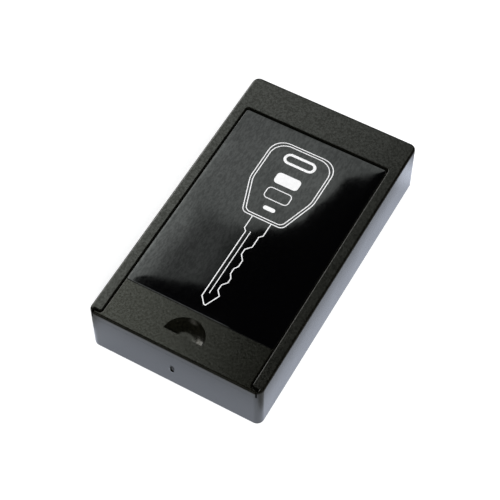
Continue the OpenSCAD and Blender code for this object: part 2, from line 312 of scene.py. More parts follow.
class EdgeWear(SharedEffect):
    """Rubbed edges: where a rounded normal departs from the true one, broken up by noise."""

    name = "edge_wear"
    takes = (("Reach", 0.0004), ("Breaks per metre", 900.0))
    gives = ("Mask",)

    def build(self, w: Wiring, given: bpy.types.NodeOutputs) -> Sequence[bpy.types.NodeSocket]:
        """Builds the mask as in SharedEffect: one less the dot product of both normals."""
        rounded = w.add("ShaderNodeBevel", ("Radius", given["Reach"]), samples=6).outputs["Normal"]
        true = w.add("ShaderNodeNewGeometry").outputs["Normal"]
        dot = w.add("ShaderNodeVectorMath", (0, rounded), (1, true), operation="DOT_PRODUCT").outputs["Value"]
        edge = w.ramp(w.math("SUBTRACT", 1.0, dot), 0.005, 0.12)
        breaks = w.ramp(w.noise(w.place(), given["Breaks per metre"], 3.0, 0.6), 0.4, 0.62)
        return (w.math("MULTIPLY", edge, breaks),)


class DustSpecks(SharedEffect):
    """Sparse pale specks of dust: the middles of a few cells of a Voronoi pattern."""

    name = "dust_specks"
    takes = (("Cells per metre", 160.0), ("Speck", 0.012), ("Share", 0.16))
    gives = ("Mask",)

    def build(self, w: Wiring, given: bpy.types.NodeOutputs) -> Sequence[bpy.types.NodeSocket]:
        """Builds the mask as in SharedEffect: near a cell's point, in the share of cells."""
        cells = w.add("ShaderNodeTexVoronoi", ("Vector", w.place()), ("Scale", given["Cells per metre"]))
        near = w.math("LESS_THAN", cells.outputs["Distance"], given["Speck"])
        lot = w.add("ShaderNodeSeparateColor", (0, cells.outputs["Color"])).outputs[0]
        chosen = w.math("LESS_THAN", lot, given["Share"])
        return (w.math("MULTIPLY", near, chosen),)


@dataclass(frozen=True)
class Effects:
    """The effects that finishes share, each built once."""

    grain: MouldGrain
    wear: EdgeWear
    dust: DustSpecks


@dataclass(frozen=True)
class Finish:
    """What every finish has: a name, a colour and a gloss."""

    name: str
    colour: Colour
    roughness: float

    def material(self, effects: Effects) -> bpy.types.Material:
        """Makes the finish's material.

        Args:
            effects: The shared effects.

        Returns:
            The new material.
        """
        made, wiring = new_material(self.name)
        made.diffuse_color = opaque(self.colour)
        shader = wiring.add("ShaderNodeBsdfPrincipled")
        wiring.add("ShaderNodeOutputMaterial", ("Surface", shader.outputs["BSDF"]))
        self.dress(wiring, shader, effects)
        return made

    def gloss(self, w: Wiring, pattern: Input, spread: float) -> bpy.types.NodeSocket:
        """Spreads the roughness to both sides of its value by a noise pattern."""
        return w.ramp(pattern, 0.3, 0.7, (self.roughness - spread, self.roughness + spread))

    def dress(self, w: Wiring, shader: bpy.types.Node, effects: Effects) -> None:
        """Fills the shader's sockets.

        Args:
            w: The material's wiring.
            shader: Its Principled BSDF.
            effects: The shared effects.
        """
        raise NotImplementedError


@dataclass(frozen=True)
class BlackPlastic(Finish):
    """Moulded black ABS with a fine grain, paler rubbed edges and a little dust."""

    worn_colour: Colour = (0.03, 0.03, 0.027)
    dust_colour: Colour = (0.22, 0.21, 0.19)
    sheen_tint: Colour = (1.0, 0.99, 0.9)
    ior: float = 1.44
    roughness_spread: float = 0.03
    mottle_share: float = 0.6
    polish: float = 0.6
    wall_polish: float = 0.15
    grain_depth: float = 0.000002
    mottle_depth: float = 0.00002
    grains: float = 4200.0
    dust_share: float = 0.05
    wear_strength: float = 0.3

    def relief(self, w: Wiring, grain: bpy.types.NodeOutputs) -> bpy.types.NodeSocket:
        """Builds the surface's height.

        Args:
            w: The material's wiring.
            grain: The mould grain's outputs.

        Returns:
            The height's socket, in grain depths.
        """
        mottle = w.math("MULTIPLY", grain["Mottle"], self.mottle_depth / self.grain_depth)
        return w.math("ADD", grain["Height"], mottle)

    def dress(self, w: Wiring, shader: bpy.types.Node, effects: Effects) -> None:
        """Fills the sockets as in Finish: grain into bump, mottle and wear into colour.

        A thin coat stands for polish: in spots on the grained upper sides, and even on the
        smoother walls.
        """
        grain = effects.grain.use(w, ("Grains per metre", self.grains))
        worn = w.math("MULTIPLY", effects.wear.use(w)["Mask"], self.wear_strength)
        dust = effects.dust.use(w, ("Share", self.dust_share))["Mask"]
        dark, pale = (opaque(tuple(c * (1 + k * self.mottle_share) for c in self.colour)) for k in (-1, 1))
        mottled = w.mix(w.ramp(grain["Mottle"], 0.3, 0.7), dark, pale)
        base = w.mix(worn, mottled, opaque(self.worn_colour))
        half = self.roughness_spread / 2
        gloss = w.ramp(grain["Patch"], 0.0, 1.0, (self.roughness - half, self.roughness + half))
        normal = w.add("ShaderNodeNewGeometry").outputs["Normal"]
        up = w.ramp(w.add("ShaderNodeSeparateXYZ", (0, normal)).outputs["Z"], 0.6, 0.9)
        spots = w.math("SUBTRACT", w.ramp(grain["Mottle"], 0.36, 0.64, (0.0, self.polish)), self.wall_polish)
        w.feed(
            shader,
            ("Base Color", w.mix(dust, base, opaque(self.dust_colour))),
            ("Roughness", gloss),
            ("Coat Weight", w.math("ADD", w.math("MULTIPLY", spots, up), self.wall_polish)),
            ("Coat Roughness", self.roughness),
            ("Specular Tint", opaque(self.sheen_tint)),
            ("IOR", self.ior),
            ("Normal", w.bump(self.relief(w, grain), self.grain_depth)),
        )


@dataclass(frozen=True)
class GatedPlastic(BlackPlastic):
    """Black ABS with the torn spot on the front wall where the moulding gate was cut off."""

    gate: Pair = (-0.0007, 0.0093)
    gate_half: Pair = (0.0012, 0.0023)
    gate_y: float = -0.0543
    tears_per_metre: float = 1400.0
    torn_depth: float = 0.0006

    def relief(self, w: Wiring, grain: bpy.types.NodeOutputs) -> bpy.types.NodeSocket:
        """Builds the height as in BlackPlastic, with coarse noise inside an oval round the gate."""
        place = w.place()
        x, y, z = w.add("ShaderNodeSeparateXYZ", (0, place)).outputs
        shares = [
            w.math("DIVIDE", w.math("SUBTRACT", s, at), half)
            for s, at, half in ((x, self.gate[0], self.gate_half[0]), (z, self.gate[1], self.gate_half[1]))
        ]
        squared = w.math("ADD", *(w.math("MULTIPLY", s, s) for s in shares))
        torn = w.math("MULTIPLY", w.ramp(squared, 1.0, 0.6), w.math("LESS_THAN", y, self.gate_y))
        tears = w.noise(place, self.tears_per_metre, 3.0, 0.6)
        rough = w.math("MULTIPLY", tears, self.torn_depth / self.grain_depth)
        return w.math("ADD", super().relief(w, grain), w.math("MULTIPLY", torn, rough))


@dataclass(frozen=True)
class GlossFilm(Finish):
    """Self-adhesive black film: near black, mirror-like, slightly uneven where it was laid."""

    ior: float = 1.52
    streak_stretch: Triple = (1.0, 0.35, 1.0)
    streaks_per_metre: float = 1800.0
    streak_shine: float = 0.5
    waves_per_metre: float = 70.0
    unevenness: float = 0.00001
    dust_colour: Colour = (0.4, 0.4, 0.38)

    def dress(self, w: Wiring, shader: bpy.types.Node, effects: Effects) -> None:
        """Fills the sockets as in Finish: slow waves into bump, faint streaks into gloss and coat."""
        dust = effects.dust.use(w, ("Cells per metre", 120.0), ("Speck", 0.02), ("Share", 0.12))["Mask"]
        streaks = w.noise(w.stretched(self.streak_stretch), self.streaks_per_metre, 2.0, 0.6)
        waves = w.noise(w.place(), self.waves_per_metre)
        w.feed(
            shader,
            ("Base Color", w.mix(dust, opaque(self.colour), opaque(self.dust_colour))),
            ("Roughness", self.gloss(w, streaks, self.roughness * 0.15)),
            ("Coat Weight", w.ramp(streaks, 0.35, 0.65, (0.0, self.streak_shine))),
            ("Coat Roughness", self.roughness),
            ("IOR", self.ior),
            ("Normal", w.bump(waves, self.unevenness)),
        )


@dataclass(frozen=True)
class ScreenInk(Finish):
    """White screen-printing ink with a slightly uneven coat."""

    thin_colour: Colour = (0.8, 0.8, 0.8)
    thin_share: float = 0.35

    def dress(self, w: Wiring, shader: bpy.types.Node, effects: Effects) -> None:
        """Fills the sockets as in Finish: a thinner coat in patches."""
        grain = effects.grain.use(w, ("Grains per metre", 9000.0), ("Patches per metre", 500.0))
        thin = w.math("MULTIPLY", grain["Patch"], self.thin_share)
        w.feed(
            shader,
            ("Base Color", w.mix(thin, opaque(self.colour), opaque(self.thin_colour))),
            ("Roughness", self.gloss(w, grain["Height"], 0.05)),
        )


@dataclass(frozen=True)
class Ferrite(Finish):
    """Pressed and ground ferrite: dark grey, dull, with grinding lines along the bar."""

    pale_colour: Colour = (0.085, 0.085, 0.09)
    ground_along: Triple = (0.03, 1.0, 1.0)
    lines_per_metre: float = 5000.0
    line_depth: float = 0.00001

    def dress(self, w: Wiring, shader: bpy.types.Node, effects: Effects) -> None:
        """Fills the sockets as in Finish: speckle into colour, grinding lines into gloss and bump."""
        grain = effects.grain.use(w, ("Grains per metre", 2600.0), ("Patches per metre", 700.0))
        lines = w.noise(w.stretched(self.ground_along), self.lines_per_metre, 2.0, 0.7)
        height = w.math("ADD", w.math("MULTIPLY", grain["Height"], 0.4), lines)
        w.feed(
            shader,
            ("Base Color", w.mix(grain["Patch"], opaque(self.colour), opaque(self.pale_colour))),
            ("Roughness", self.gloss(w, lines, 0.1)),
            ("Normal", w.bump(height, self.line_depth)),
        )


@dataclass(frozen=True)
class ZincSteel(Finish):
    """Zinc-plated steel with rolling marks and duller passivated patches."""

    dull_colour: Colour = (0.42, 0.43, 0.45)
    rolled_along: Triple = (0.04, 1.0, 1.0)
    marks_per_metre: float = 4000.0
    mark_depth: float = 0.000004
    rubbed_gain: float = 1.25

    def dress(self, w: Wiring, shader: bpy.types.Node, effects: Effects) -> None:
        """Fills the sockets as in Finish: patches into colour, rolling marks into gloss and bump."""
        grain = effects.grain.use(w, ("Patches per metre", 300.0))
        wear = effects.wear.use(w, ("Reach", 0.0002))["Mask"]
        colour = w.mix(grain["Patch"], opaque(self.colour), opaque(self.dull_colour))
        rubbed = opaque(tuple(min(1.0, c * self.rubbed_gain) for c in self.colour))
        marks = w.noise(w.stretched(self.rolled_along), self.marks_per_metre, 2.0, 0.6)
        w.feed(
            shader,
            ("Base Color", w.mix(wear, colour, rubbed)),
            ("Metallic", 1.0),
            ("Roughness", self.gloss(w, marks, 0.07)),
            ("Normal", w.bump(marks, self.mark_depth)),
        )


# ---- Meshes ----


def mesh_piece(name: str, points: np.ndarray, faces: Sequence[Sequence[int]]) -> bpy.types.Object:
    """Puts points and faces into a new object at the origin, merged, smooth and with sharp edges.

    Args:
        name: The piece's name.
        points: Its points, n by 3, in metres.
        faces: Its faces as point numbers, counter-clockwise from outside.

    Returns:
        The new object, linked into the scene.
    """
    mesh = bpy.data.meshes.new(name)
    mesh.from_pydata(points.tolist(), [], [list(f) for f in faces])
    cleaner = bmesh.new()
    cleaner.from_mesh(mesh)
    bmesh.ops.remove_doubles(cleaner, verts=cleaner.verts, dist=MERGE_DISTANCE)
    bmesh.ops.dissolve_degenerate(cleaner, edges=cleaner.edges, dist=MERGE_DISTANCE)
    cleaner.to_mesh(mesh)
    cleaner.free()
    mesh.shade_smooth()
    mesh.set_sharp_from_angle(angle=SHARP_ANGLE)
    piece = bpy.data.objects.new(name, mesh)
    bpy.context.scene.collection.objects.link(piece)
    return piece


def grid_faces(
    rows: int, columns: int, closed_columns: bool = False, closed_rows: bool = False,
) -> np.ndarray:
    """Numbers the quads of a grid of points that is stored row after row.

    Args:
        rows: Number of rows.
        columns: Number of points in a row.
        closed_columns: Whether the last point of a row joins the first.
        closed_rows: Whether the last row joins the first.

    Returns:
        Quads as an n by 4 array, turned so that row direction x column direction points out.
    """
    r = np.arange(rows if closed_rows else rows - 1)[:, None]
    c = np.arange(columns if closed_columns else columns - 1)[None, :]
    r1, c1 = (r + 1) % rows, (c + 1) % columns
    quads = np.stack([r * columns + c, r1 * columns + c, r1 * columns + c1, r * columns + c1], -1)
    return quads.reshape(-1, 4)


@dataclass(frozen=True)
class Outline:
    """A closed outline in the plane, in millimetres: straight sides and round corners.

    A corner's arc has its centre on the corner's bisector and touches both sides. It is
    sampled at even angles, from the end of one side to the start of the next.
    """

    corners: tuple[Pair, ...]
    radii: tuple[float, ...]
    arc_points: int = 9
    side_points: int = 12

    def points(self) -> np.ndarray:
        """Works out the outline's points, n by 2, counter-clockwise."""
        p = np.array(self.corners, float)
        before = np.roll(p, 1, 0) - p
        after = np.roll(p, -1, 0) - p
        before /= np.linalg.norm(before, axis=1, keepdims=True)
        after /= np.linalg.norm(after, axis=1, keepdims=True)
        half = np.arccos(np.clip((before * after).sum(1), -1, 1)) / 2
        bisector = before + after
        bisector /= np.linalg.norm(bisector, axis=1, keepdims=True)
        r = np.array(self.radii, float)[:, None]
        centre = p + bisector * r / np.sin(half)[:, None]
        start = -np.stack([-before[:, 1], before[:, 0]], -1)
        turn = np.pi - 2 * half
        t = np.linspace(0, 1, self.arc_points)[None, :] * turn[:, None]
        cos, sin = np.cos(t)[..., None], np.sin(t)[..., None]
        side = np.stack([-start[:, 1], start[:, 0]], -1)
        arcs = centre[:, None, :] - r[:, None, :] * (start[:, None, :] * cos + side[:, None, :] * sin)
        ends = arcs[:, -1, :]
        starts = np.roll(arcs[:, 0, :], -1, 0)
        s = np.linspace(0, 1, self.side_points + 2)[None, 1:-1, None]
        sides = ends[:, None, :] * (1 - s) + starts[:, None, :] * s
        return np.concatenate([arcs, sides], 1).reshape(-1, 2)


def rectangle(x: float, y: float, w: float, l: float, r: float) -> Outline:
    """Makes the outline of a rectangle with round corners.

    Args:
        x: Its middle across.
        y: Its middle along.
        w: Its width.
        l: Its length.
        r: Its corners' radius.

    Returns:
        The outline.
    """
    sides = ((x - w / 2, y - l / 2), (x + w / 2, y - l / 2), (x + w / 2, y + l / 2), (x - w / 2, y + l / 2))
    return Outline(sides, (r,) * 4)


@dataclass
class LabelFilm:
    """Glossy film on the lid, with rounded edges and the slight waves it was laid with.

    Its place and outer size come from the lid_label solid. The upper side is a grid over the
    film's middle, and rings round it that follow the rounded edge down to the underside.
    """

    finish: GlossFilm
    corner_r: float = 0.9
    edge_r: float = 0.2
    step: float = 0.6
    corner_points: int = 8
    flat_rings: int = 3
    edge_rings: int = 6
    wave_height: float = 0.012
    calm_rim: float = 6.0
    droop: float = 0.04
    droop_reach: float = 0.8
    low: np.ndarray = field(init=False)
    high: np.ndarray = field(init=False)

    def __post_init__(self) -> None:
        """Reads the solid's box, in millimetres."""
        low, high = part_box("lid_label")
        self.low, self.high = np.array(low) / MM, np.array(high) / MM

    def height(self, x: np.ndarray, y: np.ndarray) -> np.ndarray:
        """Gives the film's upper side: its level plus three crossing sine waves, less its droop.

        The level is the solid's top less the waves' height. The waves are flat at the rim. The
        droop falls off exponentially inwards from the sides and the far end.

        Args:
            x: Places across, in millimetres.
            y: Places along, in millimetres.

        Returns:
            Heights in millimetres.
        """
        beyond = np.minimum.reduce([x - self.low[0], self.high[0] - x, self.high[1] - y])
        calm = np.clip(np.minimum(beyond, y - self.low[1]) / self.calm_rim, 0, 1)
        calm = calm * calm * (3 - 2 * calm)
        waves = (
            np.sin(x / 6.1 + 0.9 * np.sin(y / 17.0))
            + 0.8 * np.sin(y / 8.3 + 0.05 * x + 1.7)
            + 0.6 * np.sin((x + y) / 5.2 + 0.4)
        )
        droop = self.droop * np.exp(-np.maximum(beyond, 0) / self.droop_reach)
        return self.high[2] + self.wave_height * calm * waves / 2.4 - self.wave_height - droop

    def build(self, effects: Effects) -> bpy.types.Object:
        """Makes the film and dresses it.

        Args:
            effects: The shared effects.

        Returns:
            The film's object.
        """
        w, l = (self.high - self.low)[:2]
        middle = (self.high + self.low)[:2] / 2
        nx, ny = round((w - 2 * self.corner_r) / self.step), round((l - 2 * self.corner_r) / self.step)
        gx = middle[0] + np.linspace(-1, 1, nx + 1) * (w / 2 - self.corner_r)
        gy = middle[1] + np.linspace(-1, 1, ny + 1) * (l / 2 - self.corner_r)
        x, y = np.meshgrid(gx, gy)
        top = np.stack([x, y, self.height(x, y)], -1).reshape(-1, 3)
        top_faces = grid_faces(ny + 1, nx + 1)[:, ::-1]
        rim = self.rim(gx, gy)
        rings, around = rim.shape[:2]
        rim_faces = grid_faces(rings, around, closed_columns=True) + len(top)
        underside = np.arange(around)[::-1] + len(top) + (rings - 1) * around
        points = np.concatenate([top, rim.reshape(-1, 3)])
        faces = [*top_faces.tolist(), *rim_faces.tolist(), underside.tolist()]
        film = mesh_piece("label_film", points * MM, faces)
        film.data.materials.append(self.finish.material(effects))
        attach(film, Body.LID.value)
        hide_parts("lid_label")
        return film

    def rim(self, gx: np.ndarray, gy: np.ndarray) -> np.ndarray:
        """Works out the rings from the grid's border out over the rounded edge and down.

        Each ring is the border moved outwards by the ring's offset, with the corners' points
        fanned over a quarter circle of that radius. The last ring lies on the underside.

        Args:
            gx: The grid's places across.
            gy: The grid's places along.

        Returns:
            The rings' points, rings by points by 3, counter-clockwise from above.
        """
        fan = np.linspace(0, np.pi / 2, self.corner_points + 1)
        runs = (
            (gx[-1], gy[0], fan - np.pi / 2), (gx[-1], gy[1:-1], 0.0),
            (gx[-1], gy[-1], fan), (gx[-2:0:-1], gy[-1], np.pi / 2),
            (gx[0], gy[-1], fan + np.pi / 2), (gx[0], gy[-2:0:-1], np.pi),
            (gx[0], gy[0], fan + np.pi), (gx[1:-1], gy[0], -np.pi / 2),
        )
        border = np.concatenate([np.stack(np.broadcast_arrays(*run)) for run in runs], 1)
        base_x, base_y, angle = border
        bend = np.linspace(0, np.pi / 2, self.edge_rings + 1)
        flat_offset = self.corner_r - self.edge_r
        flat = np.linspace(0, flat_offset, self.flat_rings, endpoint=False)
        offset = np.concatenate([flat, flat_offset + self.edge_r * np.sin(bend), [self.corner_r]])
        drop = np.concatenate([np.zeros(len(flat)), self.edge_r * (1 - np.cos(bend)), [0.0]])
        x = base_x[None] + offset[:, None] * np.cos(angle)[None]
        y = base_y[None] + offset[:, None] * np.sin(angle)[None]
        z = self.height(x, y) - drop[:, None]
        z[-1] = self.low[2]
        return np.stack([x, y, z], -1)


@dataclass
class KeyPrint:
    """Printed key on the film: lines and filled shapes of ink that follow the film's waves.

    The head lies towards the land and the blade points at the thumb scoop. All sizes are in
    millimetres on the film.
    """

    finish: ScreenInk
    film: LabelFilm
    line_w: float = 0.34
    ink_t: float = 0.03
    sunk: float = 0.05
    head_near: float = 2.5
    head_far: float = 34.5
    head_near_w: float = 15.0
    head_far_w: float = 24.0
    double_gap: float = 0.95
    blade_w: float = 5.0
    blade_tip: float = -35.0
    groove_x: float = -0.9
    groove_ends: Pair = (-3.5, -30.5)
    groove_points: int = 24
    shoulder: float = 0.06

    def line(self, path: np.ndarray, closed: bool, w: float) -> tuple[np.ndarray, list[list[int]]]:
        """Carries a flat six-sided profile with softened shoulders along a path on the film.

        A point of the profile lies at the path's point, plus the path's normal times its
        offset, at the film's height there plus its own height. The offset grows where the path
        bends, so that the line keeps its width.

        Args:
            path: The path's points, n by 2.
            closed: Whether the path's end joins its start.
            w: The line's width.

        Returns:
            The points, n by 3, and the faces.
        """
        step = np.roll(path, -1, 0) - path
        if not closed:
            step[-1] = step[-2]
        step /= np.linalg.norm(step, axis=1, keepdims=True)
        back = np.roll(step, 1, 0)
        if not closed:
            back[0] = step[0]
        tangent = step + back
        tangent /= np.linalg.norm(tangent, axis=1, keepdims=True)
        normal = np.stack([tangent[:, 1], -tangent[:, 0]], -1)
        miter = 1 / np.clip((normal * np.stack([step[:, 1], -step[:, 0]], -1)).sum(1), 0.4, 1)
        soft = min(self.shoulder, w / 6)
        brow = self.ink_t - soft / 3
        offsets = np.array([w / 2, w / 2, w / 2 - soft, soft - w / 2, -w / 2, -w / 2])
        heights = np.array([-self.sunk, brow, self.ink_t, self.ink_t, brow, -self.sunk])
        spread = path[:, None, :] + (normal * miter[:, None])[:, None, :] * offsets[None, :, None]
        z = self.film.height(spread[..., 0], spread[..., 1]) + heights[None, :]
        points = np.concatenate([spread, z[..., None]], -1)
        faces = grid_faces(len(path), len(offsets), closed_columns=True, closed_rows=closed)[:, ::-1].tolist()
        if not closed:
            faces.append(list(range(len(offsets))))
            faces.append([(len(path) - 1) * len(offsets) + k for k in reversed(range(len(offsets)))])
        return points.reshape(-1, 3), faces

    def patch(self, outline: Outline, rings: int = 6) -> tuple[np.ndarray, list[list[int]]]:
        """Fills an outline with rings that shrink towards its middle, over a low upright rim.

        Args:
            outline: The filled shape's outline.
            rings: The number of rings between the rim and the middle.

        Returns:
            The points, n by 3, and the faces.
        """
        edge = outline.points()
        middle = edge.mean(0)
        shrink = np.concatenate([[1.0], np.linspace(1, 0, rings + 1)])
        plan = middle + (edge - middle)[None] * shrink[:, None, None]
        z = self.film.height(plan[..., 0], plan[..., 1]) + self.ink_t
        z[0] -= self.ink_t + self.sunk
        points = np.concatenate([plan, z[..., None]], -1)
        faces = grid_faces(len(shrink), len(edge), closed_columns=True)[:, ::-1].tolist()
        faces.append(list(range(len(edge)))[::-1])
        return points.reshape(-1, 3), faces

    def head(self, inset: float) -> Outline:
        """Gives the head's outline, inset from its outermost line."""
        far, near = self.head_far_w / 2 - inset, self.head_near_w / 2 - inset * 0.8
        y0, y1 = self.head_near + inset, self.head_far - inset
        waist = y0 + (y1 - y0) * 0.42
        corners = ((-near, y0), (near, y0), (far, waist), (far, y1), (-far, y1), (-far, waist))
        return Outline(corners, (2.2, 2.2, 9.0, 5.5, 5.5, 9.0), arc_points=12, side_points=8)

    def blade(self) -> np.ndarray:
        """Gives the blade's open path: collar, plain left edge, pointed tip and cut right edge."""
        half = self.blade_w / 2
        cuts = np.array([
            (half, -30.0), (half - 1.5, -28.2), (half - 1.5, -26.0), (half - 0.1, -24.2), (half - 0.1, -22.4),
            (half - 1.1, -20.8), (half - 1.1, -18.6), (half - 0.2, -17.2), (half - 0.2, -14.6),
            (half - 1.7, -12.6), (half - 1.7, -10.4), (half, -8.4), (half, -4.0),
            (half + 1.0, -3.0), (half + 1.0, self.head_near),
        ])
        left = np.array([
            (-half - 1.0, self.head_near), (-half - 1.0, -3.0), (-half, -4.0), (-half, -32.4),
            (-half + 2.2, self.blade_tip), (half - 2.2, self.blade_tip),
        ])
        corners = np.concatenate([left, cuts])
        s = np.linspace(0, 1, 5)[:-1, None]
        runs = corners[:-1, None] * (1 - s) + corners[1:, None] * s
        return np.concatenate([runs.reshape(-1, 2), corners[-1:]])

    def build(self, effects: Effects) -> bpy.types.Object:
        """Makes the whole print as one piece and dresses it.

        Args:
            effects: The shared effects.

        Returns:
            The print's object.
        """
        groove_y = np.linspace(*self.groove_ends, self.groove_points)
        groove = np.stack([np.full(self.groove_points, self.groove_x), groove_y], -1)
        ring_slot = rectangle(0, self.head_far - 5.6, 11.0, 3.6, 1.79)
        full_button = rectangle(0, 20.2, 9.0, 4.6, 1.4)
        open_button = rectangle(0, 13.4, 9.0, 4.6, 1.4)
        small_light = rectangle(0, 7.4, 4.4, 1.6, 0.79)
        parts = [
            self.line(self.head(0).points(), True, self.line_w),
            self.line(self.head(self.double_gap).points(), True, self.line_w),
            self.line(self.blade(), False, self.line_w),
            self.line(groove, False, self.line_w * 0.8),
            self.line(ring_slot.points(), True, 1.0),
            self.patch(full_button),
            self.line(open_button.points(), True, self.line_w),
            self.patch(small_light),
        ]
        counts = np.cumsum([0] + [len(p) for p, _ in parts])
        points = np.concatenate([p for p, _ in parts])
        faces = [[i + start for i in f] for (_, fs), start in zip(parts, counts) for f in fs]
        ink = mesh_piece("key_print", points * MM, faces)
        ink.data.materials.append(self.finish.material(effects))
        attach(ink, Body.LID.value)
        return ink


# ---- Sub-assemblies ----


def dress_node(name: str, material: bpy.types.Material) -> bpy.types.Object:
    """Gives a solid of the frame its material.

    Args:
        name: The solid's name.
        material: Its new material.

    Returns:
        The solid's object.
    """
    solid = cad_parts[name]
    if not solid.material_slots:
        solid.data.materials.append(material)
    for slot in solid.material_slots:
        slot.material = material
    return solid


@dataclass
class Case:
    """The housing with its bottom cover and screws."""

    housing: GatedPlastic = GatedPlastic("housing_abs", (0.0045, 0.0045, 0.0032), 0.22)
    cover: BlackPlastic = BlackPlastic("cover_abs", (0.0060, 0.0060, 0.0055), 0.45, grains=2600.0)
    screws: ZincSteel = ZincSteel("screw_zinc", (0.6, 0.6, 0.61), 0.3, rolled_along=(1.0, 1.0, 1.0))

    def build(self, effects: Effects) -> list[bpy.types.Object]:
        """Dresses the housing, the cover and the screws.

        Args:
            effects: The shared effects.

        Returns:
            The dressed solids.
        """
        return [
            dress_node("housing", self.housing.material(effects)),
            dress_node("bottom_cover", self.cover.material(effects)),
            dress_node("cover_screws", self.screws.material(effects)),
        ]


@dataclass
class MagnetStacks:
    """The two ferrite bars and their four pole plates."""

    ferrite: Ferrite = Ferrite("ferrite", (0.05, 0.05, 0.053), 0.6)
    steel: ZincSteel = ZincSteel("pole_zinc", (0.62, 0.63, 0.65), 0.28)

    def build(self, effects: Effects) -> list[bpy.types.Object]:
        """Dresses the bars and the plates.

        Args:
            effects: The shared effects.

        Returns:
            The dressed solids.
        """
        ferrite, steel = self.ferrite.material(effects), self.steel.material(effects)
        bars = [dress_node(n, ferrite) for n in sorted(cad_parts) if n.startswith("magnet_")]
        plates = [dress_node(n, steel) for n in sorted(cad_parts) if n.startswith("pole_plate_")]
        return bars + plates


@dataclass
class SlideLid:
    """The lid with its label film and the key printed on it."""

    plastic: BlackPlastic = BlackPlastic(
        "lid_abs", (0.0032, 0.0032, 0.0020), 0.2, sheen_tint=(1.0, 0.985, 0.83),
    )
    film: GlossFilm = GlossFilm("label_film", (0.0003, 0.0003, 0.0005), 0.04)
    ink: ScreenInk = ScreenInk("white_ink", (0.95, 0.95, 0.95), 0.3)

    def build(self, effects: Effects) -> list[bpy.types.Object]:
        """Dresses the lid, lays the film on it and prints the key.

        Args:
            effects: The shared effects.

        Returns:
            The lid's pieces.
        """
        film = LabelFilm(self.film)
        return [
            dress_node("lid", self.plastic.material(effects)),
            film.build(effects),
            KeyPrint(self.ink, film).build(effects),
        ]


# ---- Studio ----


@dataclass(frozen=True)
class Softbox:
    """A soft rectangular lamp, in metres and watts, that may be left out of mirrored rays."""

    name: str
    at: Triple
    size: Pair
    watts: float
    mirrored: bool = True
    aim: Triple = (0.0, 0.0, 0.01)

    def build(self) -> bpy.types.Object:
        """Makes the lamp, turned to what it aims at."""
        light = bpy.data.lights.new(self.name, "AREA")
        light.shape = "RECTANGLE"
        light.size, light.size_y = self.size
        light.energy = self.watts
        lamp = bpy.data.objects.new(self.name, light)
        lamp.location = self.at
        lamp.rotation_euler = (Vector(self.aim) - Vector(self.at)).to_track_quat("-Z", "Y").to_euler()
        lamp.visible_camera = False
        lamp.visible_glossy = self.mirrored
        bpy.context.scene.collection.objects.link(lamp)
        return lamp


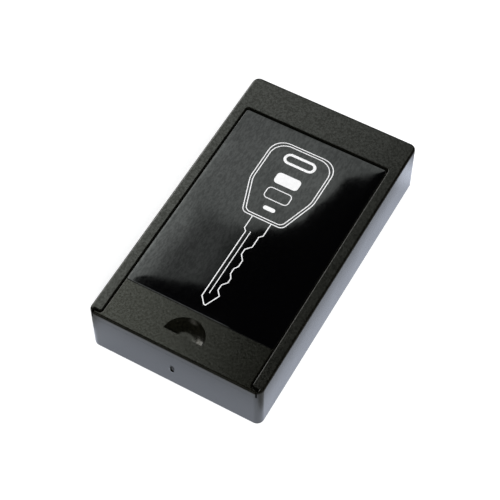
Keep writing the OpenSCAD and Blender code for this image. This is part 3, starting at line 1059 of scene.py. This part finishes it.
@dataclass(frozen=True)
class Reflector:
    """A flat glowing sheet over the box that mirrors in the film, as a window would.

    Its outline is given where it shows on the film, in millimetres. The camera, mirrored in
    the film, is the centre that carries the outline up to the sheet's height.
    """

    outline: tuple[Pair, ...] = (
        (-20.0, -34.2), (-15.0, -32.0), (-10.0, -30.6), (-3.5, -28.8), (-1.5, -24.0), (-1.5, -4.0),
        (1.0, -0.5), (8.0, 4.0), (12.0, 9.0), (13.5, 17.0), (16.0, 24.0), (17.0, 31.0), (21.5, 34.5),
        (24.0, 37.5), (30.0, 42.0), (34.0, 160.0), (-115.0, 160.0), (-115.0, -75.0), (13.0, -75.0),
        (11.0, -43.0), (-27.3, -43.0), (-27.3, -38.2), (-25.0, -37.6),
    )
    tint: Colour = (0.94, 1.0, 0.97)
    height: float = 0.62
    near_glow: float = 0.62
    left_glow: float = 1.5
    last_glow: float = 0.34
    middle_glow: float = 1.42
    far_glow: float = 1.05
    pad_glow: float = 1.5
    outer_glow: float = 1.3
    left: Pair = (-24.5, -14.0)
    last: Pair = (-9.0, -3.0)
    outer: Pair = (-30.0, -52.0)
    turn: Pair = (-9.0, 4.0)
    far_turn: Pair = (20.0, 38.0)
    pad_turn: Pair = (-38.2, -43.0)
    clouds_per_metre: float = 14.0
    clouds: Pair = (0.8, 1.16)

    def carried(self, places: tuple, camera_at: Vector, film_z: float) -> np.ndarray:
        """Carries places from the film, in millimetres, up to the sheet, in metres."""
        spread = 1 + (self.height - film_z) / (camera_at[2] - film_z)
        eye = np.array(camera_at[:2])
        return eye + (np.array(places) * MM - eye) * spread

    def build(self, camera_at: Vector, film_z: float) -> bpy.types.Object:
        """Makes the sheet.

        Args:
            camera_at: Where the camera stands.
            film_z: The height of the film.

        Returns:
            The sheet's object.
        """
        plan = self.carried(self.outline, camera_at, film_z)
        points = np.column_stack([plan, np.full(len(plan), self.height)])
        sheet = mesh_piece("window_sheet", points, [list(range(len(points)))[::-1]])
        across = self.carried(tuple((x, 0.0) for x in self.left + self.last + self.outer), camera_at, film_z)
        turns = self.turn + self.far_turn + self.pad_turn
        along = self.carried(tuple((0.0, y) for y in turns), camera_at, film_z)
        sheet.data.materials.append(self.material(across[:, 0], along[:, 1]))
        sheet.visible_camera = False
        sheet.visible_shadow = False
        return sheet

    def material(self, across: np.ndarray, along: np.ndarray) -> bpy.types.Material:
        """Makes the sheet's cloudy glow, which changes along it and across it.

        Args:
            across: Where the near part's glow starts and ends to fall, first from the left
                side, then towards its right edge, and where the outer left starts to rise.
            along: Where the near part turns into the middle part, the middle part into the
                far part, and the near part into the pad's part.

        Returns:
            The new material.
        """
        made, w = new_material("window_glow")
        place = w.place()
        x, y, _ = w.add("ShaderNodeSeparateXYZ", (0, place)).outputs
        fall = w.ramp(x, across[0], across[1], (self.left_glow, self.near_glow))
        last = w.ramp(x, across[2], across[3], (0.0, self.last_glow - self.near_glow))
        outer = w.ramp(x, across[4], across[5], (0.0, self.outer_glow))
        glow = w.math("ADD", w.math("ADD", fall, last), outer)
        levels = (w.math("ADD", outer, self.middle_glow), self.far_glow, w.math("ADD", outer, self.pad_glow))
        for start, end, level in zip(along[::2], along[1::2], levels):
            change = w.math("SUBTRACT", level, glow)
            glow = w.math("ADD", glow, w.math("MULTIPLY", w.ramp(y, start, end), change))
        clouds = w.ramp(w.noise(place, self.clouds_per_metre, 3.0, 0.6), 0.3, 0.7, self.clouds)
        strength = w.math("MULTIPLY", glow, clouds)
        emission = w.add("ShaderNodeEmission", ("Color", opaque(self.tint)), ("Strength", strength))
        w.add("ShaderNodeOutputMaterial", ("Surface", emission.outputs[0]))
        return made


@dataclass
class Studio:
    """Pale floor, soft lamps, dim room and the camera."""

    floor_r: float = 3.0
    floor_first_r: float = 0.05
    floor_rings: int = 24
    floor_around: int = 96
    floor_colour: Colour = (0.72, 0.72, 0.72)
    mirrored_colour: Colour = (0.37, 0.38, 0.39)
    floor_glow: float = 0.56
    # Painted light: the floor's glow by the box, seen only in mirrored rays, is painted bounce light; these
    # set its strength, reach, pull and tint.
    painted_bounce: float = 0.80
    painted_bounce_reach: float = 0.0115
    painted_bounce_pull: Pair = (2.2, 1.0)
    painted_bounce_tint: Colour = (0.88, 0.96, 1.16)
    # Painted light: a round painted pool of light on the floor beyond the right back corner, seen only in
    # mirrored rays.
    painted_gleam: float = 0.7
    painted_gleam_at: Triple = (0.037, 0.059, 0.0)
    painted_gleam_reach: float = 0.011
    room: Colour = (0.01, 0.01, 0.01)
    room_fill: Colour = (0.35, 0.35, 0.36)
    elevation: float = 56.80
    azimuth: float = 29.35
    distance: float = 519.0
    aim: Triple = (-0.91, -3.90, 10.5)
    lens: float = 112.01
    sensor_w: float = 36.0
    clip: Pair = (0.01, 20.0)
    lamps: tuple[Softbox, ...] = (
        Softbox("left_softbox", (-0.72, 0.40, 0.38), (0.55, 0.62), 3.6),
        Softbox("front_softbox", (-0.30, -0.76, 0.73), (0.50, 0.25), 0.3),
        Softbox("key_softbox", (0.95, -0.95, 1.15), (1.1, 1.1), 25.0, mirrored=False),
    )

    def build(self) -> None:
        """Makes the floor, the room, the lamps, the camera and the reflector."""
        self.make_floor()
        self.make_room()
        for lamp in self.lamps:
            lamp.build()
        camera = self.make_camera()
        film_z = np.array(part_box("lid_label"))[1, 2]
        Reflector().build(camera.location, film_z)

    def make_camera(self) -> bpy.types.Object:
        """Makes the camera, at its distance from its aim, in its direction."""
        a, e = math.radians(self.azimuth), math.radians(self.elevation)
        back = Vector((math.sin(a) * math.cos(e), -math.cos(a) * math.cos(e), math.sin(e)))
        lens = bpy.data.cameras.new("camera")
        lens.lens, lens.sensor_width = self.lens, self.sensor_w
        lens.clip_start, lens.clip_end = self.clip
        camera = bpy.data.objects.new("camera", lens)
        camera.location = (Vector(self.aim) + back * self.distance) * MM
        camera.rotation_euler = (-back).to_track_quat("-Z", "Y").to_euler()
        bpy.context.scene.collection.objects.link(camera)
        bpy.context.scene.camera = camera
        return camera

    def make_floor(self) -> bpy.types.Object:
        """Makes the floor, a wide disc of rings round the box that grow by equal ratios."""
        rings, around = self.floor_rings, self.floor_around
        radius = np.concatenate([[0.0], np.geomspace(self.floor_first_r, self.floor_r, rings)])
        angle = np.arange(around) * 2 * np.pi / around
        x, y = radius[:, None] * np.cos(angle), radius[:, None] * np.sin(angle)
        points = np.stack([x, y, np.zeros_like(x)], -1).reshape(-1, 3)
        floor = mesh_piece("floor", points, grid_faces(rings + 1, around, closed_columns=True))
        floor.data.materials.append(self.floor_material())
        return floor

    def floor_material(self) -> bpy.types.Material:
        """Makes the floor's white, which takes shadows and shows as white to the camera.

        In mirrored rays its colour is darker, and it carries painted bounce light, a glow by the box alone:
        evenly beside it, then falling off as e to the power of minus the fourth power of the distance from
        its footprint, faster at the sides than at the ends. A round painted gleam, a painted pool of
        light, lies beyond the right back corner.
        """
        made, w = new_material("floor_white")
        rays = w.add("ShaderNodeLightPath").outputs
        mirrored = w.math("ADD", rays["Is Glossy Ray"], rays["Is Transmission Ray"], True)
        place = w.place()
        # Painted light: the round gleam is a painted pool of light on the floor.
        away = w.add("ShaderNodeVectorMath", (0, place), (1, self.painted_gleam_at), operation="DISTANCE")
        painted_gleam = w.ramp(away.outputs["Value"], 0.0, self.painted_gleam_reach, (self.painted_gleam, 0.0))
        x, y, _ = w.add("ShaderNodeSeparateXYZ", (0, place)).outputs
        # Painted light: the glow beside the box is painted bounce light, falling off with the distance from
        # its footprint.
        beside, beyond = (
            w.math("MULTIPLY", w.math("MAXIMUM", w.math("SUBTRACT", w.math("ABSOLUTE", s), half), 0.0), pull)
            for s, half, pull in zip((x, y), CAD_BOX[1], self.painted_bounce_pull)
        )
        squared = w.math("ADD", w.math("MULTIPLY", beside, beside), w.math("MULTIPLY", beyond, beyond))
        share = w.math("DIVIDE", squared, self.painted_bounce_reach ** 2)
        near = w.math("EXPONENT", w.math("MULTIPLY", w.math("MULTIPLY", share, share), -1.0))
        # Painted light: the painted bounce glow and the painted gleam show only in mirrored rays.
        painted_bounce = w.math("MULTIPLY", w.math("ADD", w.math("MULTIPLY", near, self.painted_bounce), painted_gleam), mirrored)
        shown = w.math("MULTIPLY", rays["Is Camera Ray"], self.floor_glow)
        white = w.mix(mirrored, opaque(self.floor_colour), opaque(self.mirrored_colour))
        diffuse = w.add("ShaderNodeBsdfDiffuse", ("Color", white))
        colour = w.mix(mirrored, WHITE, opaque(self.painted_bounce_tint))
        glow = w.add("ShaderNodeEmission", ("Color", colour), ("Strength", w.math("ADD", shown, painted_bounce)))
        both = w.add("ShaderNodeAddShader", (0, diffuse.outputs[0]), (1, glow.outputs[0]))
        w.add("ShaderNodeOutputMaterial", ("Surface", both.outputs[0]))
        return made

    def make_room(self) -> None:
        """Sets the world: white to the camera, dark in reflections, a soft fill for the rest."""
        world = bpy.data.worlds.new("room")
        world.use_nodes = True
        world.node_tree.nodes.clear()
        w = Wiring(world.node_tree)
        rays = w.add("ShaderNodeLightPath").outputs
        fill = w.mix(rays["Is Glossy Ray"], opaque(self.room_fill), opaque(self.room))
        colour = w.mix(rays["Is Camera Ray"], fill, WHITE)
        background = w.add("ShaderNodeBackground", ("Color", colour), ("Strength", 1.0))
        w.add("ShaderNodeOutputWorld", ("Surface", background.outputs[0]))
        bpy.context.scene.world = world


def main() -> None:
    """Builds the sub-assemblies and the studio in order."""
    logging.basicConfig(level=logging.INFO, format="%(name)s: %(message)s")
    effects = Effects(MouldGrain(), EdgeWear(), DustSpecks())
    for assembly in (Case(), MagnetStacks(), SlideLid()):
        for piece in assembly.build(effects):
            log.info("%s: %s, %d faces", type(assembly).__name__, piece.name, len(piece.data.polygons))
    Studio().build()
    view = bpy.context.scene.view_settings
    view.view_transform = "Standard"


if __name__ == "__main__":
    main()
